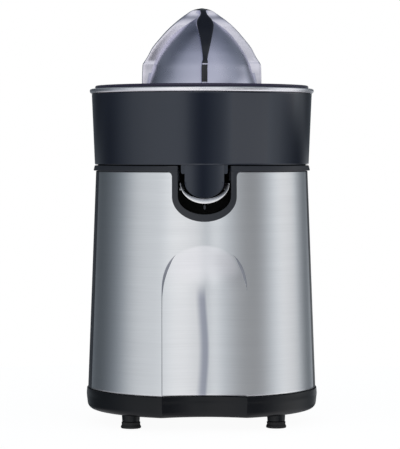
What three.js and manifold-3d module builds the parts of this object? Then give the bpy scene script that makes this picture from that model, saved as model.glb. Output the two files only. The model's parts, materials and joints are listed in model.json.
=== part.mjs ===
// An electric citrus press in millimetres, +Z up. The origin is on the ground below the drive axis, and
// the glass niche and the spout face -Y.
import * as THREE from "three";
import { mergeVertices } from "three/addons/utils/BufferGeometryUtils.js";
import Module from "manifold-3d";

// ---- Driving dimensions -------------------------------------------------------------------------------
const GAP = 0.3; // clearance between pieces that touch
const GROUND_GAP = 10; // the base tray's underside above the ground

// The body: a base tray, then a wall that narrows upwards to the collar.
const BASE_R = 85;
const BASE_TOP = 26;
const TRAY_FLOOR = 13; // the top of the tray's flat floor
const BODY_LOW_R = 83.6; // the wall's outer radius at BASE_TOP
const BODY_HIGH_R = 77.6; // and at BODY_TOP
const BODY_TOP = 183;
const STEEL_T = 1.2;
const REAR_T = 2.2;
const REAR_INSET = 0.3; // the rear housing sits this far inside the steel's surface
const STEEL_HALF_ANGLE = 74; // degrees, the steel's reach to each side of the front

// The niche that a glass stands in.
const NICHE_R = 65; // its plan radius
const NICHE_Y = -135.5; // the centre of that radius at BASE_TOP
const NICHE_ARCH_Z = 92.6; // where the straight sides end
const NICHE_ARCH_RISE = 63.8; // the vertical radius of its rounded head

// The collar on top of the body, with the U-shaped spout bay in its front.
const COLLAR_TOP = 188;
const COLLAR_LOW_R = 79.6;
const COLLAR_HIGH_R = 78.8;
const DECK_TOP = 186.5;
const DECK_LOW = 183.5;
const BEZEL_HALF = 22.9; // outer half width of the U-shaped bezel
const BEZEL_LOW = 148.3;
const BAY_HALF = 18.65; // inner half width of the spout bay
const BAY_LOW = 153.5;
const BAY_CURVE_Z = 166; // the U's straight sides end here
const BAY_BACK = -57.5;
const BAY_WALL = 1.8;
const BOSS_R = 9.6;
const BOSS_TOP = 210;

// The juice collector, its outlet duct and its spout.
const BOWL_LOW = 188.6;
const BOWL_TOP = 240;
const BOWL_LOW_R = 78.7;
const BOWL_TOP_R = 80.9;
const BOWL_WALL = 2.5;
const CHIMNEY_R = 13.2;
const CHIMNEY_BORE = 10.8;
const CHIMNEY_TOP = 224;
const DUCT_HALF = 13.9;
const DUCT_LOW = 164.2;
const DUCT_BACK = -60;
const DUCT_FRONT_R = 78.6;
const RIM_R = 82.3;
const RIM_TOP = 243.5;
const LIP_HALF = 17.8; // half width of the spout's lip
const LIP_FRONT = -85;
const LIP_TIP_Z = 174.8;
const LIP_LOW = 160.5;
const LIP_INNER_LOW = 164.2;
const SPOUT_PIVOT = { y: -66, z: 171 };

// The strainer and the reamer.
const STRAINER_R = 78.6;
const STRAINER_TOP = 246.8;
const STRAINER_FLOOR = 233;
const REAMER_LOW = 239.5;
const FIN_T = 4;
const FIN_LOW = 243;

// The drive: shaft, gears and motor.
const SHAFT_R = 4;
const SHAFT_LOW = 85;
const SHAFT_TOP = 250;
const PLATE_LOW = 94;
const PLATE_TOP = 97;
const OUTPUT = { teeth: 48, module: 1.2, low: 109.2, high: 117.2 };
const SMALL = { teeth: 12, module: 1.2, low: 105.2, high: 120 };
const WHEEL = { teeth: 50, module: 0.8, low: 100, high: 105.2 };
const PINION = { teeth: 10, module: 0.8, low: 98.5, high: 105.5 }; // below the lowered output gear
const IDLER_ANGLE = THREE.MathUtils.degToRad(148); // direction from the drive axis to the idler
const ROTOR_ANGLE = THREE.MathUtils.degToRad(27); // direction from the idler to the rotor
const CORE = { low: 44, high: 60, half: 26, back: -58, front: 16, legIn: 13, bore: 12 };
const POST_AT = 45.5; // x and y of the collar's four screw posts
const FOOT_X = 52;
const FOOT_Y = 54;
const ROUND = 40; // sides of a large ring
const FINE = 16; // of a small round piece
const PLAIN = 10; // and of a screw or its hole

const wasm = await Module();
wasm.setup();

// ---- Materials ----------------------------------------------------------------------------------------
const FINISHES = {
  steel: { color: 0xc4c6cc, roughness: 0.32, metalness: 1 },
  polished: { color: 0xe6e6ec, roughness: 0.12, metalness: 1 },
  reamerMetal: { color: 0x9aa0b4, roughness: 0.18, metalness: 0.9 },
  gloss: { color: 0x2c2f36, roughness: 0.22, metalness: 0 },
  matte: { color: 0x3c3e42, roughness: 0.5, metalness: 0 },
  base: { color: 0x1e2226, roughness: 0.35, metalness: 0 },
  violet: { color: 0x2d2840, roughness: 0.25, metalness: 0 },
  rubber: { color: 0x18191b, roughness: 0.85, metalness: 0 },
  pale: { color: 0xd8d4c6, roughness: 0.55, metalness: 0 },
  brass: { color: 0xb89a58, roughness: 0.35, metalness: 1 },
  copper: { color: 0xa5552c, roughness: 0.4, metalness: 0.8 },
  magnet: { color: 0x3a3838, roughness: 0.7, metalness: 0.2 },
  iron: { color: 0x6c6e72, roughness: 0.5, metalness: 0.9 },
};

// ---- Helpers ------------------------------------------------------------------------------------------
const v2 = (x, y) => new THREE.Vector2(x, y);

// A three.js geometry as a solid that can be joined and cut.
function solid(geometry) {
  const bare = geometry.clone();
  bare.deleteAttribute("normal");
  bare.deleteAttribute("uv");
  const merged = mergeVertices(bare, 1e-4);
  return new wasm.Manifold(
    new wasm.Mesh({
      numProp: 3,
      vertProperties: merged.attributes.position.array,
      triVerts: new Uint32Array(merged.index.array),
    }),
  );
}

// The same solid as a three.js geometry again.
function geometryOf(manifold) {
  const mesh = manifold.getMesh();
  const geometry = new THREE.BufferGeometry();
  geometry.setAttribute("position", new THREE.BufferAttribute(mesh.vertProperties, 3));
  geometry.setIndex(new THREE.BufferAttribute(mesh.triVerts, 1));
  geometry.computeVertexNormals();
  return geometry;
}

// A solid turned about the Z axis at x, y from a profile of [radius, height] points.
function turned(profile, segments = 48, x = 0, y = 0) {
  const points = profile.map(([r, z]) => v2(r, z));
  const closed = points[0].x > 0;
  if (THREE.ShapeUtils.isClockWise(points)) points.reverse();
  if (closed) points.push(points[0].clone());
  const geometry = new THREE.LatheGeometry(points, segments);
  geometry.rotateX(Math.PI / 2);
  geometry.translate(x, y, 0);
  return solid(geometry);
}

// An upright round bar.
function rod(radius, low, high, x = 0, y = 0, segments = FINE) {
  const geometry = new THREE.CylinderGeometry(radius, radius, high - low, segments);
  geometry.rotateX(Math.PI / 2);
  geometry.translate(x, y, (low + high) / 2);
  return solid(geometry);
}

// A round bar lying along X or Y.
function lyingRod(radius, axis, from, to, at, segments = PLAIN) {
  const geometry = new THREE.CylinderGeometry(radius, radius, to - from, segments);
  if (axis === "x") geometry.rotateZ(Math.PI / 2);
  const middle = (from + to) / 2;
  const place = axis === "x" ? [middle, at.y, at.z] : [at.x, middle, at.z];
  geometry.translate(...place);
  return solid(geometry);
}

// A box between two corners.
function block([x0, y0, z0], [x1, y1, z1]) {
  const geometry = new THREE.BoxGeometry(x1 - x0, y1 - y0, z1 - z0);
  geometry.translate((x0 + x1) / 2, (y0 + y1) / 2, (z0 + z1) / 2);
  return solid(geometry);
}

// A plan outline raised from one height to another.
function raised(shape, low, high, curveSegments = 8) {
  const geometry = new THREE.ExtrudeGeometry(shape, {
    depth: high - low,
    bevelEnabled: false,
    curveSegments,
  });
  geometry.translate(0, 0, low);
  return solid(geometry);
}

// An outline drawn in front view (x, z), carried from y = near back to y = far.
function carried(shape, near, far, curveSegments = 8) {
  const geometry = new THREE.ExtrudeGeometry(shape, {
    depth: far - near,
    bevelEnabled: false,
    curveSegments,
  });
  geometry.rotateX(Math.PI / 2);
  geometry.translate(0, far, 0);
  return solid(geometry);
}

function polygon(points) {
  return new THREE.Shape(points.map(([x, y]) => v2(x, y)));
}

// A front-view U: straight sides down to curveZ, then half an ellipse.
function uOutline(half, curveZ, low, top) {
  const shape = new THREE.Shape();
  shape.moveTo(-half, top);
  shape.lineTo(-half, curveZ);
  shape.absellipse(0, curveZ, half, curveZ - low, Math.PI, 2 * Math.PI, false);
  shape.lineTo(half, top);
  return shape;
}

// A solid covering the directions from one angle to another, in degrees about +Z from -Y.
function wedge(from, to) {
  const reach = 140;
  const steps = 12;
  const points = [[0, 0]];
  for (let i = 0; i <= steps; i++) {
    const a = THREE.MathUtils.degToRad(from + ((to - from) * i) / steps);
    points.push([reach * Math.sin(a), -reach * Math.cos(a)]);
  }
  return raised(polygon(points), 0, 260);
}

function joined(...solids) {
  return solids.reduce((sum, next) => sum.add(next));
}

function without(first, ...cuts) {
  return cuts.reduce((rest, cut) => rest.subtract(cut), first);
}

function bodyRadius(z) {
  const share = (z - BASE_TOP) / (BODY_TOP - BASE_TOP);
  return BODY_LOW_R + (BODY_HIGH_R - BODY_LOW_R) * share;
}

// ---- Gears --------------------------------------------------------------------------------------------
const pitchR = (gear) => (gear.teeth * gear.module) / 2;

// A spur gear outline with one tooth centred on the angle phase.
function gearOutline(gear, phase, holeRadius) {
  const tip = pitchR(gear) + 0.85 * gear.module;
  const root = pitchR(gear) - 1.2 * gear.module;
  const tipHalf = (0.11 * Math.PI * gear.module) / tip;
  const rootHalf = (0.28 * Math.PI * gear.module) / root;
  const points = [];
  for (let i = 0; i < gear.teeth; i++) {
    const middle = phase + (2 * Math.PI * i) / gear.teeth;
    const tooth = [[root, -rootHalf], [tip, -tipHalf], [tip, tipHalf], [root, rootHalf]];
    for (const [radius, turn] of tooth) {
      points.push(v2(radius * Math.cos(middle + turn), radius * Math.sin(middle + turn)));
    }
  }
  const shape = new THREE.Shape(points);
  shape.holes.push(new THREE.Path().absarc(0, 0, holeRadius, 0, 2 * Math.PI, true));
  return shape;
}

function gearSolid(gear, phase, holeRadius) {
  return raised(gearOutline(gear, phase, holeRadius), gear.low, gear.high);
}

const idlerReach = pitchR(OUTPUT) + pitchR(SMALL);
const rotorReach = pitchR(WHEEL) + pitchR(PINION);
const IDLER = v2(idlerReach * Math.cos(IDLER_ANGLE), idlerReach * Math.sin(IDLER_ANGLE));
const ROTOR = v2(
  IDLER.x + rotorReach * Math.cos(ROTOR_ANGLE),
  IDLER.y + rotorReach * Math.sin(ROTOR_ANGLE),
);
const halfPitch = (gear) => Math.PI / gear.teeth;

// ---- The assembly -------------------------------------------------------------------------------------
const citrusPress = new THREE.Group();

function addPiece(name, manifold, finish, x = 0, y = 0) {
  const material = new THREE.MeshStandardMaterial(FINISHES[finish]);
  const mesh = new THREE.Mesh(geometryOf(manifold), material);
  mesh.name = name;
  mesh.position.set(x, y, 0);
  citrusPress.add(mesh);
}

// The glass niche as a solid: an upright cylinder with a domed head, leaning back with the wall.
function nicheSolid(grow) {
  const radius = NICHE_R + grow;
  const rise = NICHE_ARCH_RISE + grow;
  const low = -100;
  const profile = [[0, low], [radius, low]];
  const steps = 12;
  for (let i = 0; i <= steps; i++) {
    const a = (Math.PI / 2) * (i / steps);
    profile.push([i === steps ? 0 : radius * Math.cos(a), rise * Math.sin(a)]);
  }
  const points = profile.map(([r, z]) => v2(r, z));
  const geometry = new THREE.LatheGeometry(points, 60);
  geometry.rotateX(Math.PI / 2);
  const lean = Math.atan((BODY_LOW_R - BODY_HIGH_R) / (BODY_TOP - BASE_TOP));
  geometry.rotateX(-lean);
  const back = (NICHE_ARCH_Z - BASE_TOP) * Math.tan(lean);
  geometry.translate(0, NICHE_Y + back, NICHE_ARCH_Z);
  return solid(geometry);
}

const niche = nicheSolid(0);

// Housing: base tray with foot stems and screw posts.
const POSTS = [[-1, -1], [1, -1], [-1, 1], [1, 1]].map(([i, j]) => [i * POST_AT, j * POST_AT]);
const CORNERS = [
  ["front_left", -1, -1],
  ["front_right", 1, -1],
  ["rear_left", -1, 1],
  ["rear_right", 1, 1],
];
const PAD_TOP = 4.6;
const POST_SPLIT = 70; // the tray's posts end and the collar's begin here

const trayOutside = [
  [0, GROUND_GAP],
  [80, GROUND_GAP],
  [82.9, GROUND_GAP + 1],
  [84.4, GROUND_GAP + 3.6],
  [BASE_R, 20],
  [84.6, BASE_TOP],
];
function baseTray() {
  const trayInside = [[81.2, BASE_TOP], [81, 16], [78, TRAY_FLOOR], [0, TRAY_FLOOR]];
  const dish = turned([...trayOutside, ...trayInside], ROUND);
  const full = turned([...trayOutside, [0, BASE_TOP]], ROUND);
  const nicheWall = nicheSolid(2.4).intersect(full);
  let tray = dish.add(nicheWall).subtract(niche);
  for (const [, i, j] of CORNERS) {
    tray = tray.add(rod(6.5, PAD_TOP + GAP, 16, i * FOOT_X, j * FOOT_Y, FINE));
  }
  for (const [x, y] of POSTS) {
    tray = tray.add(rod(6.5, 11, 18, x, y, PLAIN)).add(rod(4.5, 15, POST_SPLIT - GAP, x, y, PLAIN));
    tray = without(tray, rod(3.3, 5, 14, x, y, PLAIN), rod(2.3, 5, POST_SPLIT + 5, x, y, PLAIN));
  }
  return tray;
}
addPiece("base_tray", baseTray(), "base");

const footPad = turned([[0, 0], [7.25, 0], [7.25, 1.2], [6.7, PAD_TOP], [0, PAD_TOP]], FINE);
for (const [corner, i, j] of CORNERS) {
  addPiece(`foot_pad_${corner}`, footPad, "rubber", i * FOOT_X, j * FOOT_Y);
}

// Housing: the steel front with its pressed niche, and the moulded rear.
function wallRing(inset, thickness, low, high) {
  const outerLow = bodyRadius(low) - inset;
  const outerHigh = bodyRadius(high) - inset;
  return turned(
    [[outerLow, low], [outerHigh, high], [outerHigh - thickness, high], [outerLow - thickness, low]],
    ROUND,
  );
}

function steelShell() {
  const low = BASE_TOP + GAP;
  const ring = wallRing(0, STEEL_T, low, BODY_TOP).subtract(niche);
  const filled = turned(
    [[0, low], [bodyRadius(low), low], [bodyRadius(BODY_TOP), BODY_TOP], [0, BODY_TOP]],
    ROUND,
  );
  const nicheWall = nicheSolid(STEEL_T).intersect(filled).subtract(niche);
  const front = ring.add(nicheWall).intersect(wedge(-STEEL_HALF_ANGLE, STEEL_HALF_ANGLE));
  const bayCut = carried(uOutline(BEZEL_HALF + GAP, BAY_CURVE_Z, BEZEL_LOW - GAP, 200), -90, -50);
  return front.subtract(bayCut);
}
addPiece("steel_shell", steelShell(), "steel");

const GROMMET_Z = 40;
function rearHousing() {
  const low = BASE_TOP + GAP;
  const seam = 0.25; // degrees of clearance at each seam
  const rear = wallRing(REAR_INSET, REAR_T, low, BODY_TOP).intersect(
    wedge(STEEL_HALF_ANGLE + seam, 180).add(wedge(180, 360 - STEEL_HALF_ANGLE - seam)),
  );
  return rear.subtract(lyingRod(6.3, "y", 70, 90, { x: 0, z: GROMMET_Z }, FINE));
}
addPiece("rear_housing", rearHousing(), "matte");

// The grommet in the rear wall that a mains lead passes through.
function cordGrommet() {
  const profile = [
    [3.2, 76.5],
    [8, 76.5],
    [8, 79.4],
    [6, 79.4],
    [6, 83.5],
    [8, 83.5],
    [7.4, 84.9],
    [3.2, 84.9],
  ];
  const points = profile.map(([r, y]) => v2(r, y));
  points.push(points[0].clone());
  const geometry = new THREE.LatheGeometry(points, FINE);
  geometry.translate(0, 0, GROMMET_Z);
  return solid(geometry);
}
addPiece("cord_grommet", cordGrommet(), "rubber");

// Housing: the collar with its deck, shaft boss, screw posts and U-shaped spout bay.
function topCollar() {
  const ring = turned(
    [
      [COLLAR_LOW_R, BODY_TOP + GAP],
      [COLLAR_HIGH_R, COLLAR_TOP],
      [76.8, COLLAR_TOP],
      [76.8, DECK_TOP],
      [BOSS_R, DECK_TOP],
      [BOSS_R, BOSS_TOP],
      [7.3, BOSS_TOP],
      [7.3, 189],
      [5.5, 189],
      [5.5, DECK_LOW],
      [72.6, DECK_LOW],
      [72.6, 177],
      [74.4, 177],
      [74.4, BODY_TOP + GAP],
    ],
    ROUND,
  );
  const top = COLLAR_TOP;
  const bezelFace = turned([[0, 140], [79.3, 140], [79.3, 183], [COLLAR_HIGH_R, top], [0, top]], ROUND);
  const bezel = carried(uOutline(BEZEL_HALF, BAY_CURVE_Z, BEZEL_LOW, top), -81, -74).intersect(bezelFace);
  const outside = uOutline(BAY_HALF + BAY_WALL, BAY_CURVE_Z, BAY_LOW - BAY_WALL, DECK_TOP);
  const pocket = carried(outside, -76, BAY_BACK + BAY_WALL);
  const inside = carried(uOutline(BAY_HALF, BAY_CURVE_Z, BAY_LOW, top + 10), -95, BAY_BACK);
  let collar = joined(ring, bezel, pocket).subtract(inside);
  for (const [x, y] of POSTS) {
    const post = rod(4.5, POST_SPLIT, DECK_LOW + 1, x, y, PLAIN);
    collar = collar.add(post.subtract(rod(2.1, POST_SPLIT - 1, 88, x, y, PLAIN)));
  }
  return collar;
}
addPiece("top_collar", topCollar(), "matte");

// The four long screws that clamp tray, walls and collar together.
const housingScrew = rod(3, 10.8, 13.7, 0, 0, PLAIN).add(rod(1.8, 13, 86, 0, 0, PLAIN));
CORNERS.forEach(([corner, i, j]) => {
  addPiece(`housing_screw_${corner}`, housingScrew, "iron", i * POST_AT, j * POST_AT);
});

// ---- Juice collector ----------------------------------------------------------------------------------
function juiceCollector() {
  const bowl = turned(
    [
      [BOWL_LOW_R, BOWL_LOW],
      [BOWL_TOP_R, BOWL_TOP],
      [BOWL_TOP_R - BOWL_WALL, BOWL_TOP],
      [76.4, 198],
      [74, 194],
      [CHIMNEY_R, 198],
      [CHIMNEY_R, CHIMNEY_TOP],
      [CHIMNEY_BORE, CHIMNEY_TOP],
      [CHIMNEY_BORE, 195.5],
      [72, 191.4],
      [74, BOWL_LOW],
    ],
    ROUND,
  );
  // The outlet duct hangs from the floor at the front, with a curved face and rounded lower corners.
  const corner = 5;
  const face = new THREE.Shape();
  face.moveTo(-DUCT_HALF, BOWL_LOW + 3);
  face.lineTo(-DUCT_HALF, DUCT_LOW + corner);
  face.absarc(corner - DUCT_HALF, DUCT_LOW + corner, corner, Math.PI, 1.5 * Math.PI, false);
  face.absarc(DUCT_HALF - corner, DUCT_LOW + corner, corner, 1.5 * Math.PI, 2 * Math.PI, false);
  face.lineTo(DUCT_HALF, BOWL_LOW + 3);
  const roundFront = rod(DUCT_FRONT_R, 150, BOWL_LOW + 3, 0, 0, ROUND);
  const tab = block([-16.5, -90, 182], [16.5, -74.5, BOWL_LOW + 2]);
  const duct = carried(face, -90, DUCT_BACK).add(tab).intersect(roundFront);
  const wall = 2.2;
  const bore = block([wall - DUCT_HALF, -75.8, 150], [DUCT_HALF - wall, DUCT_BACK - wall, 196]);
  return bowl.add(duct).subtract(bore);
}
addPiece("juice_collector", juiceCollector(), "gloss");

const rimSection = [
  [77.4, BOWL_TOP + GAP],
  [RIM_R - 0.5, BOWL_TOP + GAP],
  [RIM_R, 241.4],
  [RIM_R, 242.6],
  [RIM_R - 0.6, RIM_TOP],
  [77.4, RIM_TOP],
];
addPiece("collector_rim", turned(rimSection, ROUND), "polished");

// The tilting spout: a crescent-shaped trough with two ears that hang on the duct's pins.
function lipOutline(lowZ, half) {
  const rise = LIP_TIP_Z - lowZ;
  const radius = (half * half + rise * rise) / (2 * rise);
  const halfAngle = Math.asin(half / radius);
  const centre = lowZ + radius;
  return { radius, halfAngle, centre };
}

function spoutTrough() {
  const outer = lipOutline(LIP_LOW, LIP_HALF);
  const inner = lipOutline(LIP_INNER_LOW, LIP_HALF - 1);
  const crescent = new THREE.Shape();
  const down = -Math.PI / 2;
  crescent.absarc(0, outer.centre, outer.radius, down - outer.halfAngle, down + outer.halfAngle, false);
  crescent.absarc(0, inner.centre, inner.radius, down + inner.halfAngle, down - inner.halfAngle, true);
  const trough = carried(crescent, LIP_FRONT, -62, PLAIN);
  const earShape = polygon([[LIP_FRONT + 7, 168], [-70, 175], [-62.5, 175], [-62.5, 164], [-70, 163]]);
  let spout = trough;
  for (const side of [-1, 1]) {
    const geometry = new THREE.ExtrudeGeometry(earShape, { depth: 1.8, bevelEnabled: false });
    // The ear's outline is drawn in (y, z); turning it stands it across X.
    geometry.rotateX(Math.PI / 2);
    geometry.rotateZ(Math.PI / 2);
    geometry.translate(side > 0 ? 14.4 : -16.2, 0, 0);
    spout = spout.add(solid(geometry));
  }
  spout = spout.subtract(lyingRod(1.8, "x", -30, 30, SPOUT_PIVOT));
  // Room for the duct that hangs inside the trough, deeper behind the pins, where lowering the lip lifts it.
  spout = spout.subtract(block([-14.2, -79.2, 164], [14.2, -50, 190]));
  spout = spout.subtract(block([-14.2, -66.5, 162.6], [14.2, -50, 190]));
  const nib = block([-0.75, -84.6, 157], [0.75, -70, 161.2]);
  return spout.add(nib);
}
addPiece("spout_trough", spoutTrough(), "polished");

for (const [side, from] of [["left", -17.4], ["right", 14.2]]) {
  addPiece(`spout_pin_${side}`, lyingRod(1.5, "x", from, from + 3.2, SPOUT_PIVOT), "iron");
}

// ---- Strainer and reamer ------------------------------------------------------------------------------
function strainer() {
  let dish = turned(
    [
      [STRAINER_R - 0.7, 243.8],
      [STRAINER_R, 245],
      [STRAINER_R - 1, STRAINER_TOP],
      [75, STRAINER_TOP],
      [73.4, 245],
      [71.6, 236],
      [69.5, STRAINER_FLOOR + 0.6],
      [22.4, STRAINER_FLOOR],
      [22, 237],
      [20, 237],
      [20, STRAINER_FLOOR - 2],
      [70.4, STRAINER_FLOOR - 1.6],
      [73.6, 235],
      [75.4, 243.8],
    ],
    ROUND,
  );
  const slots = 12;
  for (let i = 0; i < slots; i++) {
    const turn = (2 * Math.PI * i) / slots;
    for (const [from, to, shift] of [[27, 44, 0], [49, 67, 0.5]]) {
      const slot = new THREE.BoxGeometry(to - from, 2.2, 8);
      slot.translate((from + to) / 2, 0, STRAINER_FLOOR - 1);
      slot.rotateZ(turn + (shift * 2 * Math.PI) / slots);
      dish = dish.subtract(solid(slot));
    }
  }
  return dish;
}
addPiece("strainer", strainer(), "violet");

const CONE = [[40.8, REAMER_LOW], [38.8, 249], [37, 257], [34.5, 263], [31, 270.7], [26, 277.6]];
const CONE_TOP = [[20.3, 284.2], [14.6, 289], [6, 294.5], [0, 296]];
const FIN = [[44, 246], [43.5, 261], [42.7, 263], [40.2, 267], [36.7, 274], [32.3, 280.5]];
const FIN_TOP = [[26.2, 287.5], [18.5, 294.7], [12.7, 298.7], [7, 301.7]];

function reamer() {
  const outside = turned([[0, REAMER_LOW], ...CONE, ...CONE_TOP], 32);
  const inside = turned(
    [
      [0, 230],
      [38.6, 230],
      [38.6, REAMER_LOW],
      [36.6, 249],
      [34.8, 256.4],
      [32.2, 262.2],
      [28.8, 269.3],
      [24, 275.8],
      [18.4, 282],
      [0, 287],
    ],
    32,
  );
  const half = [[42, FIN_LOW], ...FIN, ...FIN_TOP];
  const mirrored = half.map(([x, z]) => [-x, z]).reverse();
  const outline = polygon([...half, [0, 303], ...mirrored]);
  const fin = carried(outline, -FIN_T / 2, FIN_T / 2);
  const crossed = fin.add(fin.rotate([0, 0, 90]));
  const shell = outside.add(crossed).subtract(inside);
  const hub = rod(9.6, 213.5, 289, 0, 0, FINE).subtract(rod(7.5, 200, 252.6, 0, 0, FINE));
  const skirt = rod(17, 217, 285, 0, 0, 32).subtract(rod(15, 200, 290, 0, 0, 32));
  return joined(shell, hub, skirt);
}
addPiece("reamer", reamer(), "reamerMetal");

// The hexagonal drive socket pressed into the reamer's hub.
addPiece("reamer_socket", rod(7.2, 214, 252, 0, 0, FINE).subtract(rod(4.4, 200, 260, 0, 0, 6)), "iron");

// ---- Drive shaft --------------------------------------------------------------------------------------
const GROOVE = { low: 107.5, high: 108.8, r: 3 };
const CROSS_PIN_Z = 121;
function driveShaft() {
  const round = turned(
    [
      [0, SHAFT_LOW],
      [3.2, SHAFT_LOW],
      [SHAFT_R, SHAFT_LOW + 0.8],
      [SHAFT_R, GROOVE.low],
      [GROOVE.r, GROOVE.low],
      [GROOVE.r, GROOVE.high],
      [SHAFT_R, GROOVE.high],
      [SHAFT_R, 213],
      [0, 213],
    ],
    24,
  );
  return round.add(rod(SHAFT_R, 212, SHAFT_TOP, 0, 0, 6)).subtract(
    lyingRod(1.8, "x", -20, 20, { y: 0, z: CROSS_PIN_Z }),
  );
}
addPiece("drive_shaft", driveShaft(), "iron");

function outputGear() {
  let gear = gearSolid(OUTPUT, IDLER_ANGLE, SHAFT_R + GAP);
  const hub = rod(8, OUTPUT.high - 1, 125, 0, 0, FINE).subtract(rod(SHAFT_R + GAP, 90, 130, 0, 0, FINE));
  gear = gear.add(hub);
  const holes = 5;
  for (let i = 0; i < holes; i++) {
    const a = (2 * Math.PI * i) / holes;
    gear = gear.subtract(rod(4.6, 100, 118, 17.5 * Math.cos(a), 17.5 * Math.sin(a), PLAIN));
  }
  return gear.subtract(lyingRod(1.8, "x", -20, 20, { y: 0, z: CROSS_PIN_Z }));
}
addPiece("output_gear", outputGear(), "pale");
addPiece("drive_pin", lyingRod(1.5, "x", -7.6, 7.6, { y: 0, z: CROSS_PIN_Z }), "iron");

function washer(inner, outer, low, high, segments = FINE) {
  return turned([[inner, low], [outer, low], [outer, high], [inner, high]], segments);
}
addPiece("retaining_ring", washer(GROOVE.r + GAP, 6.4, GROOVE.low + 0.15, GROOVE.high - 0.15), "iron");
addPiece("thrust_washer", washer(SHAFT_R + GAP, 10.4, 105.5, 107.2), "brass");
addPiece("shaft_bush_lower", washer(SHAFT_R + GAP, 6.5, 90, 99), "brass");
addPiece("shaft_bush_upper", washer(SHAFT_R + GAP, 7, 189.3, 206), "brass");
addPiece("shaft_seal", washer(SHAFT_R + GAP, 7, 206.4, 209.6), "rubber");

// The return spring that lifts the shaft when the fruit is let go.
class Helix extends THREE.Curve {
  constructor(radius, low, high, turns) {
    super();
    Object.assign(this, { radius, low, high, turns });
  }
  getPoint(t, target = new THREE.Vector3()) {
    const a = 2 * Math.PI * this.turns * t;
    const z = this.low + (this.high - this.low) * t;
    return target.set(this.radius * Math.cos(a), this.radius * Math.sin(a), z);
  }
}

function returnSpring() {
  const wire = 0.6;
  const section = new THREE.Shape().absarc(0, 0, wire, 0, 2 * Math.PI, false);
  const path = new Helix(8.6, PLATE_TOP + GAP + wire, 105.2 - wire, 3.5);
  return solid(new THREE.ExtrudeGeometry(section, { steps: 35, curveSegments: 3, extrudePath: path }));
}
addPiece("return_spring", returnSpring(), "iron");

// ---- Gear train ---------------------------------------------------------------------------------------
function idlerGear() {
  const bore = 2.3;
  const small = gearSolid(SMALL, IDLER_ANGLE + Math.PI + halfPitch(SMALL), bore);
  const wheel = gearSolid(WHEEL, ROTOR_ANGLE, bore);
  return small.add(wheel);
}
addPiece("idler_gear", idlerGear(), "pale", IDLER.x, IDLER.y);
addPiece("idler_pin", rod(2, 92, 123, 0, 0, PLAIN), "iron", IDLER.x, IDLER.y);

// The motor's four bolts, from the rotor's axis.
const BOLTS = [[-22.5, -54], [22.5, -54], [-22.5, 12], [22.5, 12]];
const boltSpots = BOLTS.map(([x, y]) => [ROTOR.x + x, ROTOR.y + y]);
const coverSpots = [0, 240, 63].map((degrees) => {
  const a = THREE.MathUtils.degToRad(degrees);
  return [38 * Math.cos(a), 38 * Math.sin(a)];
});

function gearPlate() {
  let plate = rod(60, PLATE_LOW, PLATE_TOP, 0, 0, 40);
  for (const [x, y] of POSTS) plate = plate.add(rod(8, PLATE_LOW, PLATE_TOP, x, y, FINE));
  for (const [x, y] of boltSpots) plate = plate.add(rod(4, 72.8, PLATE_LOW + 1, x, y, PLAIN));
  const cuts = [
    ...POSTS.map(([x, y]) => rod(4.9, 60, 110, x, y, PLAIN)),
    ...boltSpots.map(([x, y]) => rod(2.1, 60, 92.5, x, y, PLAIN)),
    ...coverSpots.map(([x, y]) => rod(1.5, PLATE_LOW - 1, PLATE_TOP + 1, x, y, PLAIN)),
    rod(6.8, 90, 100, 0, 0, FINE),
    rod(2.3, 90, 100, IDLER.x, IDLER.y, PLAIN),
    rod(3, 90, 100, ROTOR.x, ROTOR.y, PLAIN),
  ];
  return without(plate, ...cuts);
}
addPiece("gear_plate", gearPlate(), "iron");

function gearCover() {
  const low = PLATE_TOP + GAP;
  const top = 128.5;
  const wall = 1.8;
  const cells = [[0, 0, 35], [IDLER.x, IDLER.y, 23.6], [ROTOR.x, ROTOR.y, 8.5]];
  const outside = joined(...cells.map(([x, y, r]) => rod(r, low, top, x, y, 40)));
  const inside = joined(...cells.map(([x, y, r]) => rod(r - wall, low - 5, top - wall, x, y, 40)));
  let cover = outside;
  for (const [x, y] of coverSpots) cover = cover.add(rod(4.5, low, low + 4, x, y, PLAIN));
  cover = cover.subtract(inside).subtract(rod(6, 100, 140, 0, 0, FINE));
  return without(cover, ...coverSpots.map(([x, y]) => rod(1.8, 90, 110, x, y, PLAIN)));
}
addPiece("gear_cover", gearCover(), "matte");

const screwHead = rod(3, PLATE_TOP + 4.6, PLATE_TOP + 6.6, 0, 0, PLAIN);
const coverScrew = screwHead.add(rod(1.2, PLATE_LOW, PLATE_TOP + 5, 0, 0, PLAIN));
coverSpots.forEach(([x, y], i) => {
  addPiece(`gear_cover_screw_${i + 1}`, coverScrew, "iron", x, y);
});

// ---- Switch below the shaft's end ---------------------------------------------------------------------
const LEVER_PIVOT = { x: 22, z: 83.7 };
const PLUNGER_X = 10;
function microSwitch() {
  let body = block([4, -3.2, 72.8], [24, 3.2, 80]);
  for (const y of [-4.4, 3.2]) body = body.add(block([20.2, y, 76], [23.8, y + 1.2, 85.5]));
  return without(
    body,
    rod(1.4, 76, 90, PLUNGER_X, 0, PLAIN),
    lyingRod(1.1, "y", -10, 10, LEVER_PIVOT, PLAIN),
  );
}
addPiece("micro_switch", microSwitch(), "matte");
addPiece("switch_plunger", rod(1.1, 78, 82.9, PLUNGER_X, 0, PLAIN), "pale");
addPiece(
  "switch_lever",
  block([-4, -2.5, 83.2], [22.5, 2.5, 84.2]).add(lyingRod(0.8, "y", -4.2, 4.2, LEVER_PIVOT, 10)),
  "iron",
);

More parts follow.
